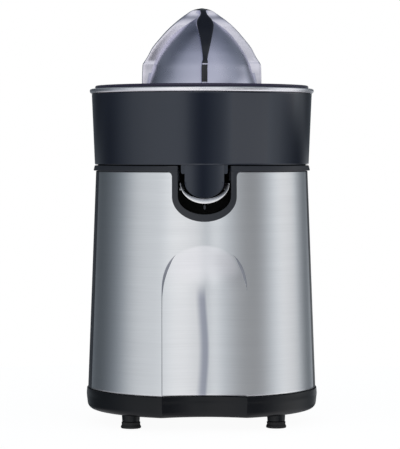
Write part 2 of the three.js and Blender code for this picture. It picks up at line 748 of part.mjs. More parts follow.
// ---- Motor, drawn about the rotor's own axis ----------------------------------------------------------
function statorCore() {
  const { half, back, front, legIn, bore, low, high } = CORE;
  const body = block([-half, back, low], [half, front, high]);
  const window = block([-legIn, back + 14, low - 1], [legIn, -14, high + 1]);
  const slit = block([-1.8, -20, low - 1], [1.8, front + 1, high + 1]);
  const cuts = BOLTS.map(([x, y]) => rod(2.1, low - 1, high + 1, x, y, PLAIN));
  return without(body, window, slit, rod(bore, low - 1, high + 1, 0, 0, 32), ...cuts);
}
addPiece("stator_core", statorCore(), "iron", ROTOR.x, ROTOR.y);

const LEG_MIDDLE = (CORE.legIn + CORE.half) / 2;
const CORE_MIDDLE = (CORE.low + CORE.high) / 2;
function aroundLeg(halfWidth, halfHeight, from, to) {
  return block(
    [LEG_MIDDLE - halfWidth, from, CORE_MIDDLE - halfHeight],
    [LEG_MIDDLE + halfWidth, to, CORE_MIDDLE + halfHeight],
  );
}

function coilBobbin() {
  const spool = joined(
    aroundLeg(7.8, 9.3, -42, -17),
    aroundLeg(12.2, 13.2, -42, -40.4),
    aroundLeg(12.2, 13.2, -18.6, -17),
  );
  return spool.subtract(aroundLeg(6.8, 8.3, -50, -10));
}

function coilWinding() {
  return aroundLeg(11.2, 12.4, -40.1, -18.9).subtract(aroundLeg(8.1, 9.6, -50, -10));
}

for (const [side, sign] of [["left", -1], ["right", 1]]) {
  const place = (piece) => (sign > 0 ? piece : piece.mirror([1, 0, 0]));
  addPiece(`coil_bobbin_${side}`, place(coilBobbin()), "pale", ROTOR.x, ROTOR.y);
  addPiece(`coil_winding_${side}`, place(coilWinding()), "copper", ROTOR.x, ROTOR.y);
}

const ROTOR_SHAFT_R = 1.5;
addPiece("rotor_magnet", washer(ROTOR_SHAFT_R + GAP, 11, 40, 64, 32), "magnet", ROTOR.x, ROTOR.y);
addPiece("rotor_shaft", rod(ROTOR_SHAFT_R, 28.6, PINION.high + 0.2, 0, 0, PLAIN), "iron", ROTOR.x, ROTOR.y);
const pinionPhase = ROTOR_ANGLE + Math.PI + halfPitch(PINION);
addPiece("rotor_pinion", gearSolid(PINION, pinionPhase, ROTOR_SHAFT_R + GAP), "brass", ROTOR.x, ROTOR.y);

const FRAME_T = 2.5;
function motorFrame(low, bossLow, bossHigh) {
  let frame = block([-27.5, -59.5, low], [27.5, 17.5, low + FRAME_T]);
  for (const [x, y] of BOLTS) frame = frame.add(rod(4, bossLow, bossHigh, x, y, PLAIN));
  frame = frame.subtract(rod(5.3, low - 5, low + 8, 0, 0, FINE));
  return without(frame, ...BOLTS.map(([x, y]) => rod(2.1, 20, 80, x, y, PLAIN)));
}
addPiece("motor_frame_lower", motorFrame(31, 32, CORE.low - GAP), "iron", ROTOR.x, ROTOR.y);
addPiece("motor_frame_upper", motorFrame(70, CORE.high + GAP, 71), "iron", ROTOR.x, ROTOR.y);
for (const [name, low] of [["lower", 29.5], ["upper", 69]]) {
  addPiece(`rotor_bearing_${name}`, washer(ROTOR_SHAFT_R + GAP, 5, low, low + 5), "brass", ROTOR.x, ROTOR.y);
}
const motorBolt = rod(3.5, 28, 30.7, 0, 0, PLAIN).add(rod(1.8, 30, 92, 0, 0, PLAIN));
boltSpots.forEach(([x, y], i) => addPiece(`motor_bolt_${i + 1}`, motorBolt, "iron", x, y));

// The terminal block where the lead's wires are clamped, on the tray's floor.
function terminalBlock() {
  let body = block([-13, 52, 13.3], [13, 62, 24]);
  for (const x of [-8, 0, 8]) {
    body = body.subtract(rod(2, 18, 30, x, 57, PLAIN));
    body = body.subtract(lyingRod(1.4, "y", 48, 66, { x, z: 17 }, 10));
  }
  return body;
}
addPiece("terminal_block", terminalBlock(), "pale");

export default citrusPress;
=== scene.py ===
import json
import math

import bmesh
import bpy
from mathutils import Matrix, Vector


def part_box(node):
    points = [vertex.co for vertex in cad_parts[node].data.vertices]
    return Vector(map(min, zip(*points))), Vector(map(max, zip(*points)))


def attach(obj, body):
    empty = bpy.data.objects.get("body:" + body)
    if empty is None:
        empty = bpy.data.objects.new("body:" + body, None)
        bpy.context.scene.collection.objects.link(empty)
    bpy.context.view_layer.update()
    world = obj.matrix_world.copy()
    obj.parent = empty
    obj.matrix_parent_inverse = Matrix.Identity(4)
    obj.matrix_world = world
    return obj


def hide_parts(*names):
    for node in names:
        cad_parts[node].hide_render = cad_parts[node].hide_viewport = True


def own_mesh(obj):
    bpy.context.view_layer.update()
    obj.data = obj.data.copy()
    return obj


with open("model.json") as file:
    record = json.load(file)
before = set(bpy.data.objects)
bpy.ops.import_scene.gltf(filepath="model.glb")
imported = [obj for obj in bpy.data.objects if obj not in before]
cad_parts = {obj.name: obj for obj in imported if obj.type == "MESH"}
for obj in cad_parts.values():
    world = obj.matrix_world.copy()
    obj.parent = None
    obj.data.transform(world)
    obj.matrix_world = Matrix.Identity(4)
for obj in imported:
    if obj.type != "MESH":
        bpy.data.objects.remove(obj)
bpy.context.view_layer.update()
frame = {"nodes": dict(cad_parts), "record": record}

# Lengths are in millimetres, and come from the CAD nodes' boxes where a node has them.
MM = 0.001


def low(node):
    return [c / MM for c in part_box(node)[0]]


def high(node):
    return [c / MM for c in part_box(node)[1]]


# ---- Driving sizes ------------------------------------------------------------------------------------
STEEL_REACH = math.radians(74)  # the steel wraps this far to each side of the front
BASE_R = high("base_tray")[0]
BASE_LOW = 9.2
BASE_TOP = low("steel_shell")[2] - 1.8
STEEL_LOW = BASE_TOP + 0.3
BODY_TOP = high("steel_shell")[2] + 0.5
BODY_LOW_R = high("steel_shell")[0] / math.sin(STEEL_REACH) + 0.7
BODY_TAPER = 6.0  # how much narrower the body's radius is at the top

NICHE_HALF = 30.2
NICHE_DEPTH = 12.6
NICHE_ARCH_Z = 98.0
NICHE_TOP = 131.0
NICHE_BLUNT = 2.4  # the arch is a little squarer than a half circle

COLLAR_LOW = BODY_TOP + 0.3
COLLAR_TOP = 187.6
COLLAR_LOW_R = high("top_collar")[0]
BEZEL_HALF = 22.9
BEZEL_LOW = 148.3
BAY_HALF = 18.65
BAY_LOW = 153.5
BAY_CURVE_Z = 166.0
BAY_MIDDLE = -70.0
BAY_BACK = -57.5
BEZEL_PROUD = 1.0  # the bezel stands this far out of the steel
DECK_TOP = 186.5
DECK_LOW = 183.5
DECK_R = 57.4  # the deck is whole out to here, and open in front of it for the bay

BOWL_LOW = 188.2
BOWL_TOP = high("juice_collector")[2]
BOWL_TOP_R = high("juice_collector")[0]
BOWL_LOW_R = 78.7
RIM_R = high("collector_rim")[0]
RIM_LOW = low("collector_rim")[2]
RIM_TOP = high("collector_rim")[2]
STRAINER_R = high("strainer")[0]
STRAINER_TOP = high("strainer")[2] - 0.9
APEX = high("reamer")[2]

POST_AT = 45.5
FOOT_X = 52.0
FOOT_Y = 54.0
CORNERS = [(i, j) for i in (-1, 1) for j in (-1, 1)]


# ---- Mesh tools ---------------------------------------------------------------------------------------
def add_mesh(name, points, faces, material, sharp=32.0):
    """A mesh object from points in millimetres, smooth except across edges sharper than an angle."""
    mesh = bpy.data.meshes.new(name)
    mesh.from_pydata([Vector(p) * MM for p in points], [], faces)
    work = bmesh.new()
    work.from_mesh(mesh)
    bmesh.ops.remove_doubles(work, verts=work.verts, dist=1e-6)
    bmesh.ops.dissolve_degenerate(work, edges=work.edges, dist=1e-7)
    bmesh.ops.recalc_face_normals(work, faces=work.faces)
    work.to_mesh(mesh)
    work.free()
    mesh.shade_smooth()
    mesh.set_sharp_from_angle(angle=math.radians(sharp))
    piece = bpy.data.objects.new(name, mesh)
    bpy.context.collection.objects.link(piece)
    piece.data.materials.append(material)
    return piece


def join_all(name, pieces):
    """Several mesh objects as one, which keeps the first one's materials."""
    bpy.ops.object.select_all(action="DESELECT")
    for piece in pieces:
        piece.select_set(True)
    bpy.context.view_layer.objects.active = pieces[0]
    bpy.ops.object.join()
    pieces[0].name = name
    pieces[0].data.name = name
    return pieces[0]


def cut_out(piece, cutter):
    """Takes the cutter's volume out of the piece, and removes the cutter."""
    cut = piece.modifiers.new("cut", "BOOLEAN")
    cut.operation = "DIFFERENCE"
    cut.solver = "EXACT"
    cut.object = cutter
    bpy.context.view_layer.objects.active = piece
    bpy.ops.object.modifier_apply(modifier=cut.name)
    bpy.data.objects.remove(cutter, do_unlink=True)


def swung(x, y, angle):
    """A point carried round the origin through an angle in radians."""
    return x * math.cos(angle) - y * math.sin(angle), x * math.sin(angle) + y * math.cos(angle)


def rounded(corners, steps=5):
    """A polyline of [r, z] or [r, z, radius] corners, with an arc in place of each corner with a radius."""
    out = []
    count = len(corners)
    for i, corner in enumerate(corners):
        here = Vector(corner[:2])
        radius = corner[2] if len(corner) > 2 else 0
        before = Vector(corners[i - 1][:2]) - here
        after = Vector(corners[(i + 1) % count][:2]) - here
        if radius <= 0:
            out.append(here)
            continue
        before.normalize()
        after.normalize()
        half = before.angle(after) / 2
        cut = radius / math.tan(half)
        middle = here + (before + after).normalized() * (radius / math.sin(half))
        start = here + before * cut - middle
        end = here + after * cut - middle
        turn = start.angle_signed(end)
        out += [middle + Vector(swung(*start, -turn * k / steps)) for k in range(steps + 1)]
    return out


def loft(rings, closed=True, wrap=False, caps=True):
    """Faces between rings of equal length. wrap joins the last ring to the first."""
    size = len(rings[0])
    points = [p for ring in rings for p in ring]
    faces = []
    rows = len(rings) if wrap else len(rings) - 1
    columns = size if closed else size - 1
    for i in range(rows):
        for j in range(columns):
            a = i * size + j
            b = i * size + (j + 1) % size
            c = ((i + 1) % len(rings)) * size + (j + 1) % size
            d = ((i + 1) % len(rings)) * size + j
            faces.append((a, b, c, d))
    if caps and closed and not wrap:
        faces.append(tuple(range(size)))
        faces.append(tuple(range(len(points) - size, len(points))))
    return points, faces


def lofted(name, rings, material, sharp=32.0, **joins):
    """A mesh object between rings of points."""
    points, faces = loft(rings, **joins)
    return add_mesh(name, points, faces, material, sharp)


def held(profile, keep=0.5):
    """The profile with extra points beside the ends of its long straights, so that these shade flat."""
    points = []
    for i, here in enumerate(profile):
        there = profile[(i + 1) % len(profile)]
        points.append(here)
        across = (there[0] - here[0], there[1] - here[1])
        span = math.hypot(*across)
        if span > 5 * keep:
            for share in (keep / span, 1 - keep / span):
                points.append([here[0] + across[0] * share, here[1] + across[1] * share])
    return points


def turned(name, profile, material, steps, sharp=32.0, at=(0, 0), start=0.0, sweep=360.0):
    """A closed profile of (r, z) turned about an upright axis, all round or through a sweep of degrees."""
    full = sweep >= 360
    profile = held(profile)
    rings = []
    for i in range(steps if full else steps + 1):
        a = math.radians(start + sweep * i / steps)
        rings.append([(at[0] + p[0] * math.sin(a), at[1] - p[0] * math.cos(a), p[1]) for p in profile])
    return lofted(name, rings, material, sharp, wrap=full)


def between(value, table):
    """A smooth value from a table of (key, value) pairs with rising keys, by cubic Hermite steps."""
    keys = [k for k, _ in table]
    if value <= keys[0]:
        return table[0][1]
    if value >= keys[-1]:
        return table[-1][1]
    i = max(n for n, k in enumerate(keys[:-1]) if k <= value)
    (k0, v0), (k1, v1) = table[i], table[i + 1]
    slope = (v1 - v0) / (k1 - k0)
    before = slope if i == 0 else (v1 - table[i - 1][1]) / (k1 - table[i - 1][0])
    after = slope if i + 2 == len(table) else (table[i + 2][1] - v0) / (table[i + 2][0] - k0)
    t = (value - k0) / (k1 - k0)
    span = k1 - k0
    return (
        v0 * (2 * t**3 - 3 * t**2 + 1)
        + before * span * (t**3 - 2 * t**2 + t)
        + v1 * (3 * t**2 - 2 * t**3)
        + after * span * (t**3 - t**2)
    )


def spread(start, end, count):
    return [start + (end - start) * i / (count - 1) for i in range(count)]


def full_turn(count):
    """Angles in even steps all round."""
    return spread(0, math.tau, count + 1)[:-1]


# ---- Materials ----------------------------------------------------------------------------------------
def feed(owner, source, socket):
    """Links another node's output to a socket, or sets the socket to a plain value."""
    if hasattr(source, "is_linked"):
        owner.node_tree.links.new(source, socket)
    else:
        socket.default_value = source


def add_node(owner, kind, *inputs, **values):
    """A node of a material or world, with its settings, its named inputs and its first inputs given."""
    node = owner.node_tree.nodes.new("ShaderNode" + kind)
    for key, value in values.items():
        name = key.replace("_", " ")
        if name in node.inputs:
            feed(owner, value, node.inputs[name])
        else:
            setattr(node, key, value)
    for socket, value in zip(node.inputs, inputs):
        feed(owner, value, socket)
    return node


def computed(owner, operation, *values):
    return add_node(owner, "Math", *values, operation=operation).outputs[0]


def color_ramp(owner, factor, stops, interpolation="LINEAR"):
    """A colour that follows the factor through stops of (position, colour)."""
    node = add_node(owner, "ValToRGB", factor)
    ramp = node.color_ramp
    ramp.interpolation = interpolation
    ramp.elements.remove(ramp.elements[0])
    for i, (position, color) in enumerate(stops):
        element = ramp.elements.new(position) if i else ramp.elements[0]
        element.position = position
        element.color = (*color, 1)
    return node.outputs["Color"]


def shader_input(material, name):
    return material.node_tree.nodes["Principled BSDF"].inputs[name]


def node_material(name, color, roughness, metallic=0.0, **sockets):
    material = bpy.data.materials.new(name)
    material.use_nodes = True
    shader_input(material, "Base Color").default_value = (*color, 1)
    shader_input(material, "Roughness").default_value = roughness
    shader_input(material, "Metallic").default_value = metallic
    for key, value in sockets.items():
        shader_input(material, key.replace("_", " ")).default_value = value
    return material


def stretched_noise(material, scale, detail):
    """Noise in object space, scaled apart along X, Y and Z, in waves per metre."""
    place = add_node(material, "TexCoord")
    mapping = add_node(material, "Mapping", Vector=place.outputs["Object"], Scale=scale)
    noise = add_node(material, "TexNoise", Vector=mapping.outputs["Vector"], Scale=1.0, Detail=detail)
    return noise.outputs["Fac"]


def vary_tone(material, factor, color, dark, light):
    """Scales the colour by a number that follows the factor from dark to light."""
    stops = []
    for position, scale in ((0.3, dark), (0.7, light)):
        stops.append((position, [min(1.0, c * scale) for c in color]))
    feed(material, color_ramp(material, factor, stops), shader_input(material, "Base Color"))


def vary_gloss(material, factor, roughness, first, last):
    """Scales the roughness by a number that follows the factor from first to last."""
    node = add_node(material, "MapRange", factor, 0.25, 0.75, roughness * first, roughness * last)
    feed(material, node.outputs["Result"], shader_input(material, "Roughness"))


def bumped(material, height, strength, distance):
    bump = add_node(material, "Bump", Height=height, Strength=strength, Distance=distance)
    feed(material, bump.outputs["Normal"], shader_input(material, "Normal"))


def moulded_plastic(name, color, roughness, grain, **sockets):
    """Moulded plastic: fine spark grain, faint flow marks in the gloss and a slight change of tone."""
    material = node_material(name, color, roughness, **sockets)
    flow = stretched_noise(material, (18, 18, 18), 4)
    fine = stretched_noise(material, (2600, 2600, 2600), 2)
    vary_tone(material, flow, color, 0.9, 1.1)
    vary_gloss(material, flow, roughness, 0.85, 1.2)
    bumped(material, fine, grain, 0.00006)
    return material


def brushed_metal(name, color, roughness, streak=(26, 26, 1500), swing=0.03, **sockets):
    """Brushed metal: long fine scratches in the tone, gloss and surface, across the axis of most waves."""
    material = node_material(name, color, roughness, 1.0, **sockets)
    fine = stretched_noise(material, streak, 2)
    broad = stretched_noise(material, (streak[0] / 3, streak[1] / 3, streak[2] / 7), 2)
    both = computed(material, "MULTIPLY_ADD", fine, 0.6, computed(material, "MULTIPLY", broad, 0.4))
    vary_tone(material, both, color, 1 - swing, 1 + swing)
    vary_gloss(material, both, roughness, 1.12, 0.9)
    bumped(material, fine, 0.08, 0.00002)
    return material


def polished_metal(name, color, roughness):
    """Polished or plated metal, with faint handling marks in its gloss."""
    material = node_material(name, color, roughness, 1.0)
    marks = stretched_noise(material, (60, 60, 60), 5)
    vary_gloss(material, marks, roughness, 0.8, 1.35)
    vary_tone(material, marks, color, 0.96, 1.03)
    return material


def follow_round_wall(material):
    """Turns the shading normal to the round wall's own direction, and keeps its tilt up or down.

    The press draws the sheet into the niche with hardly any change to how it mirrors the room sideways.
    """
    geometry = add_node(material, "NewGeometry")
    tilt = add_node(material, "SeparateXYZ", geometry.outputs["Normal"]).outputs["Z"]
    place = add_node(material, "TexCoord")
    flat = add_node(material, "VectorMath", place.outputs["Object"], (1, 1, 0), operation="MULTIPLY")
    radial = add_node(material, "VectorMath", flat.outputs[0], operation="NORMALIZE")
    rest = computed(material, "SUBTRACT", 1, computed(material, "POWER", tilt, 2))
    level = add_node(material, "VectorMath", radial.outputs[0], operation="SCALE",
                     Scale=computed(material, "SQRT", rest))
    upright = add_node(material, "CombineXYZ", Z=tilt)
    total = add_node(material, "VectorMath", level.outputs[0], upright.outputs[0], operation="ADD")
    for node in material.node_tree.nodes:
        if node.bl_idname == "ShaderNodeBump":
            feed(material, total.outputs[0], node.inputs["Normal"])
    tangent = add_node(material, "Tangent", direction_type="RADIAL", axis="Z")
    feed(material, tangent.outputs[0], shader_input(material, "Tangent"))


# A dark line painted down the middle of the niche's steel: a painted reflection.
LINE_SWAY = 1.1  # the line wanders this far to each side on its way down
LINE_WAVE = 90.0
LINE_START = 34.5  # the sway is nothing at this height
REFLECTION_LINE_TONE = (0.56, 0.57, 0.64)


def painted_reflection_line(material):
    """A darker line painted down the middle of the niche: a painted reflection."""
    place = add_node(material, "TexCoord")
    split = add_node(material, "SeparateXYZ", place.outputs["Object"])
    x, y, z = split.outputs

    def fade(value, first, last):
        node = add_node(material, "MapRange", value, first * MM, last * MM, interpolation_type="SMOOTHSTEP")
        return node.outputs["Result"]

    pace = math.tau / (LINE_WAVE * MM)
    phase = computed(material, "MULTIPLY_ADD", z, pace, -pace * LINE_START * MM)
    shifted = computed(material, "MULTIPLY_ADD", computed(material, "SINE", phase), -LINE_SWAY * MM, x)
    across = computed(material, "MULTIPLY", fade(shifted, -6.0, -1.0), fade(shifted, 3.2, 0.6))
    along = computed(material, "MULTIPLY", fade(z, 106, 92), fade(y, -40, -60))
    tone = shader_input(material, "Base Color").links[0].from_socket
    mix = add_node(material, "Mix", data_type="RGBA", blend_type="MULTIPLY",
                   Factor=computed(material, "MULTIPLY", across, along), A=tone, B=(*REFLECTION_LINE_TONE, 1))
    feed(material, mix.outputs[2], shader_input(material, "Base Color"))


STEEL = brushed_metal("brushed_steel", (0.80, 0.81, 0.83), 0.30,
                      Anisotropic=0.75, Anisotropic_Rotation=0.25)
follow_round_wall(STEEL)
# Paints a dark reflection line down the niche.
painted_reflection_line(STEEL)
# Darker steel for the strip along the niche's crease: painted shade.
CREASE_PAINTED_SHADE = brushed_metal("steel_painted_crease_shade", (0.28, 0.29, 0.33), 0.35)
ROLLED = polished_metal("rolled_rim_metal", (0.93, 0.92, 0.96), 0.27)
LIP_METAL = polished_metal("spout_metal", (0.97, 0.96, 0.98), 0.42)
REAMER_METAL = polished_metal("reamer_plating", (0.60, 0.60, 0.73), 0.27)
# A brighter satin for the side fins only: painted highlight.
FIN_PAINTED_HIGHLIGHT = brushed_metal("fin_painted_highlight_satin", (0.88, 0.85, 0.94), 0.34, (60, 60, 600))
# Near black, painted onto the front and back fins' edges and the apex: painted dark reflection.
FIN_DARK_REFLECTION = moulded_plastic("reamer_painted_dark_reflection", (0.010, 0.012, 0.020), 0.25, 0.02)
GLOSS = moulded_plastic("collector_plastic", (0.004, 0.006, 0.017), 0.08, 0.0,
                        Specular_IOR_Level=0.8, Specular_Tint=(0.84, 0.90, 1.0, 1))
CHARCOAL = moulded_plastic("collar_plastic", (0.020, 0.023, 0.032), 0.42, 0.10)
# Near black with little gloss, for the spout bay's inside: painted shade.
BAY_SHADE_BLACK = moulded_plastic("bay_painted_shade", (0.003, 0.003, 0.003), 0.6, 0.05, Specular_IOR_Level=0.15)
BASE_PLASTIC = moulded_plastic("base_plastic", (0.003, 0.004, 0.007), 0.30, 0.05, Specular_IOR_Level=0.3)
VIOLET = moulded_plastic("strainer_plastic", (0.035, 0.028, 0.065), 0.25, 0.03)
RUBBER = moulded_plastic("foot_rubber", (0.010, 0.010, 0.011), 0.75, 0.4)
ACETAL = moulded_plastic("acetal", (0.68, 0.65, 0.56), 0.42, 0.05)
BLACK = moulded_plastic("inner_moulding", (0.012, 0.012, 0.013), 0.5, 0.1)
BRONZE = brushed_metal("sintered_bronze", (0.55, 0.38, 0.17), 0.42, (300, 300, 900), 0.12)
COPPER = brushed_metal("enamelled_copper", (0.52, 0.17, 0.06), 0.34, (40, 900, 40), 0.25)
FERRITE = moulded_plastic("ground_ferrite", (0.042, 0.040, 0.040), 0.6, 0.3)
ZINC = brushed_metal("zinc_plate", (0.52, 0.53, 0.55), 0.33, (200, 200, 500), 0.06)
IRON = brushed_metal("laminated_iron", (0.24, 0.25, 0.27), 0.45, (30, 30, 2000), 0.2)

SLOT_MATERIALS = {
    "brushed_steel": STEEL,
    "polished_metal": ROLLED,
    "reamer_metal": REAMER_METAL,
    "gloss_black": GLOSS,
    "satin_charcoal": CHARCOAL,
    "base_black": BASE_PLASTIC,
    "violet_plastic": VIOLET,
    "rubber_black": RUBBER,
    "inner_plastic": ACETAL,
    "black_moulding": BLACK,
    "bronze": BRONZE,
    "copper_wire": COPPER,
    "ferrite": FERRITE,
    "zinc_steel": ZINC,
    "laminated_iron": IRON,
}


def finish_frame_nodes():
    """Every CAD node gets its slot's material. Those that a finer piece stands for are hidden later."""
    slots = {row["node"]: row["material_slot"] for row in frame["record"]["subparts"]}
    for node, piece in frame["nodes"].items():
        piece.data.materials.clear()
        piece.data.materials.append(SLOT_MATERIALS[slots[node]])


def stands_for(piece, body, slot, *nodes):
    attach(piece, body)
    if nodes:
        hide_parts(*nodes)


# ---- The body's surface -------------------------------------------------------------------------------
def body_radius(z):
    return BODY_LOW_R - BODY_TAPER * (z - BASE_TOP) / (BODY_TOP - BASE_TOP)


def niche_half(z):
    """Half the niche's width at a height, down to nothing at its top."""
    if z <= NICHE_ARCH_Z:
        return NICHE_HALF
    rise = (z - NICHE_ARCH_Z) / (NICHE_TOP - NICHE_ARCH_Z)
    return NICHE_HALF * max(0.0, 1 - rise**NICHE_BLUNT) ** (1 / NICHE_BLUNT)


NICHE_HEAD = [(96, 1.0), (104, 0.955), (110, 0.85), (116, 0.65), (122, 0.38), (127, 0.15), (130.5, 0.04),
              (132, 0.0)]
NICHE_EDGE = [(90, 1.0), (110, 1.25), (125, 1.5)]  # the arch's edge is softer towards its top


def niche_depth(x, z):
    """How far the niche's surface lies behind the round wall."""
    half = niche_half(z)
    if half <= 0 or abs(x) >= half:
        return 0.0
    return NICHE_DEPTH * between(z, NICHE_HEAD) * (1 - (x / half) ** 2) ** between(z, NICHE_EDGE)


def eased(count, power):
    """Shares from 0 to 1, closer together near 1."""
    return [1 - (1 - i / (count - 1)) ** power for i in range(count)]


SEAM_LEAST = 11.0


def seam_half(z):
    """The grid's columns follow the niche's crease, then run straight up above the arch."""
    return max(niche_half(min(z, NICHE_TOP)), SEAM_LEAST)


CREASE_COLUMNS = 4
CREASE_SHADE_TOP = 125
# How wide a strip along the niche's crease is painted dark as crease shade; the grid's columns crowd into
# it.
CREASE_SHADE_WIDTH = [(30, 0.45), (94, 0.45), (99, 0.9), (105, 1.5), (112, 2.1), (118, 2.0), (122, 1.0),
                (CREASE_SHADE_TOP, 0.1)]
CREASE_SHADE_AT_RIGHT = [(99, 0.0), (108, 1.0)]  # the painted crease shade shows only on the shoulder there


def wall_rows(heights):
    """Rows of points on the front wall, with columns that follow the niche's crease."""
    outside = eased(44, 2.2)[:-1]
    rows = []
    for z in heights:
        radius = body_radius(z)
        seam = seam_half(z)
        edge = math.asin(seam / radius)
        angles = [STEEL_REACH - (STEEL_REACH - edge) * share for share in outside]
        beside = [(radius * math.sin(a), -radius * math.cos(a), z) for a in angles]
        inner = seam - between(z, CREASE_SHADE_WIDTH)
        across = spread(-seam, -inner, CREASE_COLUMNS + 1)[:-1]
        across += [inner * math.sin(math.pi / 2 * t) for t in spread(-1, 1, 55)]
        across += spread(inner, seam, CREASE_COLUMNS + 1)[1:]
        row = [(-x, y, z) for x, y, z in beside]
        row += [(x, niche_depth(x, z) - math.sqrt(radius**2 - x * x), z) for x in across]
        rows.append(row + beside[::-1])
    return rows


def u_point(half, bottom, top, share):
    """A point of a U in front view: share 0 is its top left end and 1 its top right end."""
    straight = top - BAY_CURVE_Z
    bend = (half + (BAY_CURVE_Z - bottom)) * math.pi / 2
    total = 2 * straight + bend
    run = share * total
    if run < straight:
        return -half, top - run
    if run > total - straight:
        return half, top - (total - run)
    a = math.pi + math.pi * (run - straight) / bend
    return half * math.cos(a), BAY_CURVE_Z + (BAY_CURVE_Z - bottom) * math.sin(a)


def inside_u(x, z, half, bottom):
    if z >= BAY_CURVE_Z:
        return abs(x) < half
    drop = (BAY_CURVE_Z - z) / (BAY_CURVE_Z - bottom)
    return drop < 1 and abs(x) < half * math.sqrt(1 - drop * drop)


SHEET = 0.9
NOTCH_SIDE = 2.2  # the sheet's notch for the bezel reaches this far beyond the bay at each side
NOTCH_LOW = 2.6  # and this far below it


def steel_front():
    """The pressed steel wrapper, with the niche in it and a notch for the bezel."""
    heights = spread(STEEL_LOW, NICHE_ARCH_Z - 1, 44)
    heights += spread(NICHE_ARCH_Z, NICHE_TOP - 2.5, 46) + spread(NICHE_TOP - 1.6, BODY_TOP, 56)
    points, faces = loft(wall_rows(heights), closed=False)
    kept = []
    crease_shaded = []
    for face in faces:
        corners = [points[i] for i in face]
        x = sum(p[0] for p in corners) / 4
        z = sum(p[2] for p in corners) / 4
        if inside_u(x, z, BAY_HALF + NOTCH_SIDE, BAY_LOW - NOTCH_LOW):
            continue
        depth = seam_half(z) - abs(x)
        width = between(z, CREASE_SHADE_WIDTH) * (1.0 if x < 0 else between(z, CREASE_SHADE_AT_RIGHT))
        # Faces in a strip along the crease get the darker steel: painted crease shade.
        if 0 < depth < width and z < CREASE_SHADE_TOP:
            crease_shaded.append(len(kept))
        kept.append(face)
    sheet = add_mesh("steel_wrapper", points, kept, STEEL, 30)
    sheet.data.materials.append(CREASE_PAINTED_SHADE)
    for i in crease_shaded:
        sheet.data.polygons[i].material_index = 1
    thickness = sheet.modifiers.new("thickness", "SOLIDIFY")
    thickness.thickness = SHEET * MM
    thickness.offset = -1
    bpy.context.view_layer.objects.active = sheet
    bpy.ops.object.modifier_apply(modifier=thickness.name)
    stands_for(sheet, "housing", "brushed_steel", "steel_shell")


# ---- Housing ------------------------------------------------------------------------------------------
PANEL_START = 74.3  # degrees from the front: just past the steel's edge
PANEL_INSET = 0.3
PANEL_WALL = 2.1


def rear_cover():
    """The moulded rear panel, which closes the body behind the steel."""
    outer_low = body_radius(BASE_TOP) - PANEL_INSET
    outer_high = body_radius(BODY_TOP) - PANEL_INSET
    profile = rounded(
        [
            [outer_low, STEEL_LOW, 0.4],
            [outer_high, BODY_TOP, 0.3],
            [outer_high - PANEL_WALL, BODY_TOP, 0.3],
            [outer_low - PANEL_WALL, STEEL_LOW, 0.4],
        ],
        3,
    )
    panel = turned("rear_panel", profile, CHARCOAL, 200, start=PANEL_START, sweep=360 - 2 * PANEL_START)
    stands_for(panel, "housing", "satin_charcoal", "rear_housing")


def base_moulding():
    """The tray: a ring with a round lower edge and the niche running through it, a floor and four stems."""
    half_angle = math.asin(NICHE_HALF / BASE_R)
    outside = [[0, BASE_LOW], [BASE_R - 1.2, BASE_LOW, 4.6], [BASE_R, BASE_LOW + 11, 14.0],
               [BASE_R - 0.4, BASE_TOP, 0.5]]
    inside = [[81.8, BASE_TOP, 0.4], [81.2, 17.0, 3.0], [78.0, 13.0, 1.0], [0, 13.0]]
    rings = []
    for r, z in held(rounded(outside + inside, 6))[:-2]:
        rings.append([base_point(r, z, a) for a in niche_angles(240, half_angle)])
    stems = [lofted("base_body", rings, BASE_PLASTIC, 28, caps=False)]
    for i, j in CORNERS:
        stem = rounded([[0, 4.9], [6.3, 4.9, 0.4], [6.5, 9.0], [6.5, 15.5], [0, 15.5]], 3)
        stems.append(turned("stem", stem, BASE_PLASTIC, 48, at=(i * FOOT_X, j * FOOT_Y)))
    tray = join_all("base_moulding", stems)
    stands_for(tray, "housing", "base_black", "base_tray")


def niche_angles(columns, half_angle):
    """Directions all round from -Y, with a column on each side of the niche and finer ones across it."""
    across = spread(-half_angle, half_angle, 49)
    rest = spread(half_angle, 2 * math.pi - half_angle, columns - 48)
    return across + rest[1:-1]


PUSH_FROM_R = 40  # the niche's push into the tray grows from nothing here
PUSH_ALL_R = 70


def base_point(r, z, a):
    """A point of the tray: the round form, pushed back where the niche runs through it."""
    x = r * math.sin(a)
    y = -r * math.cos(a)
    if math.cos(a) > 0 and abs(x) < NICHE_HALF and r > PUSH_FROM_R:
        share = min(1.0, (r - PUSH_FROM_R) / (PUSH_ALL_R - PUSH_FROM_R))
        y += NICHE_DEPTH * (1 - (x / NICHE_HALF) ** 2) * share
    return (x, y, z)


def foot_pads():
    profile = [[0, 0], [7.2, 0, 0.7], [7.25, 1.4, 0.5], [6.6, 2.6, 0.6], [6.75, 4.6, 0.3], [0, 4.6]]
    profile = rounded(profile, 4)
    for side, i in (("left", -1), ("right", 1)):
        for end, j in (("front", -1), ("rear", 1)):
            pad = turned(f"rubber_foot_{end}_{side}", profile, RUBBER, 64, at=(i * FOOT_X, j * FOOT_Y))
            stands_for(pad, "housing", "rubber_black", f"foot_pad_{end}_{side}")


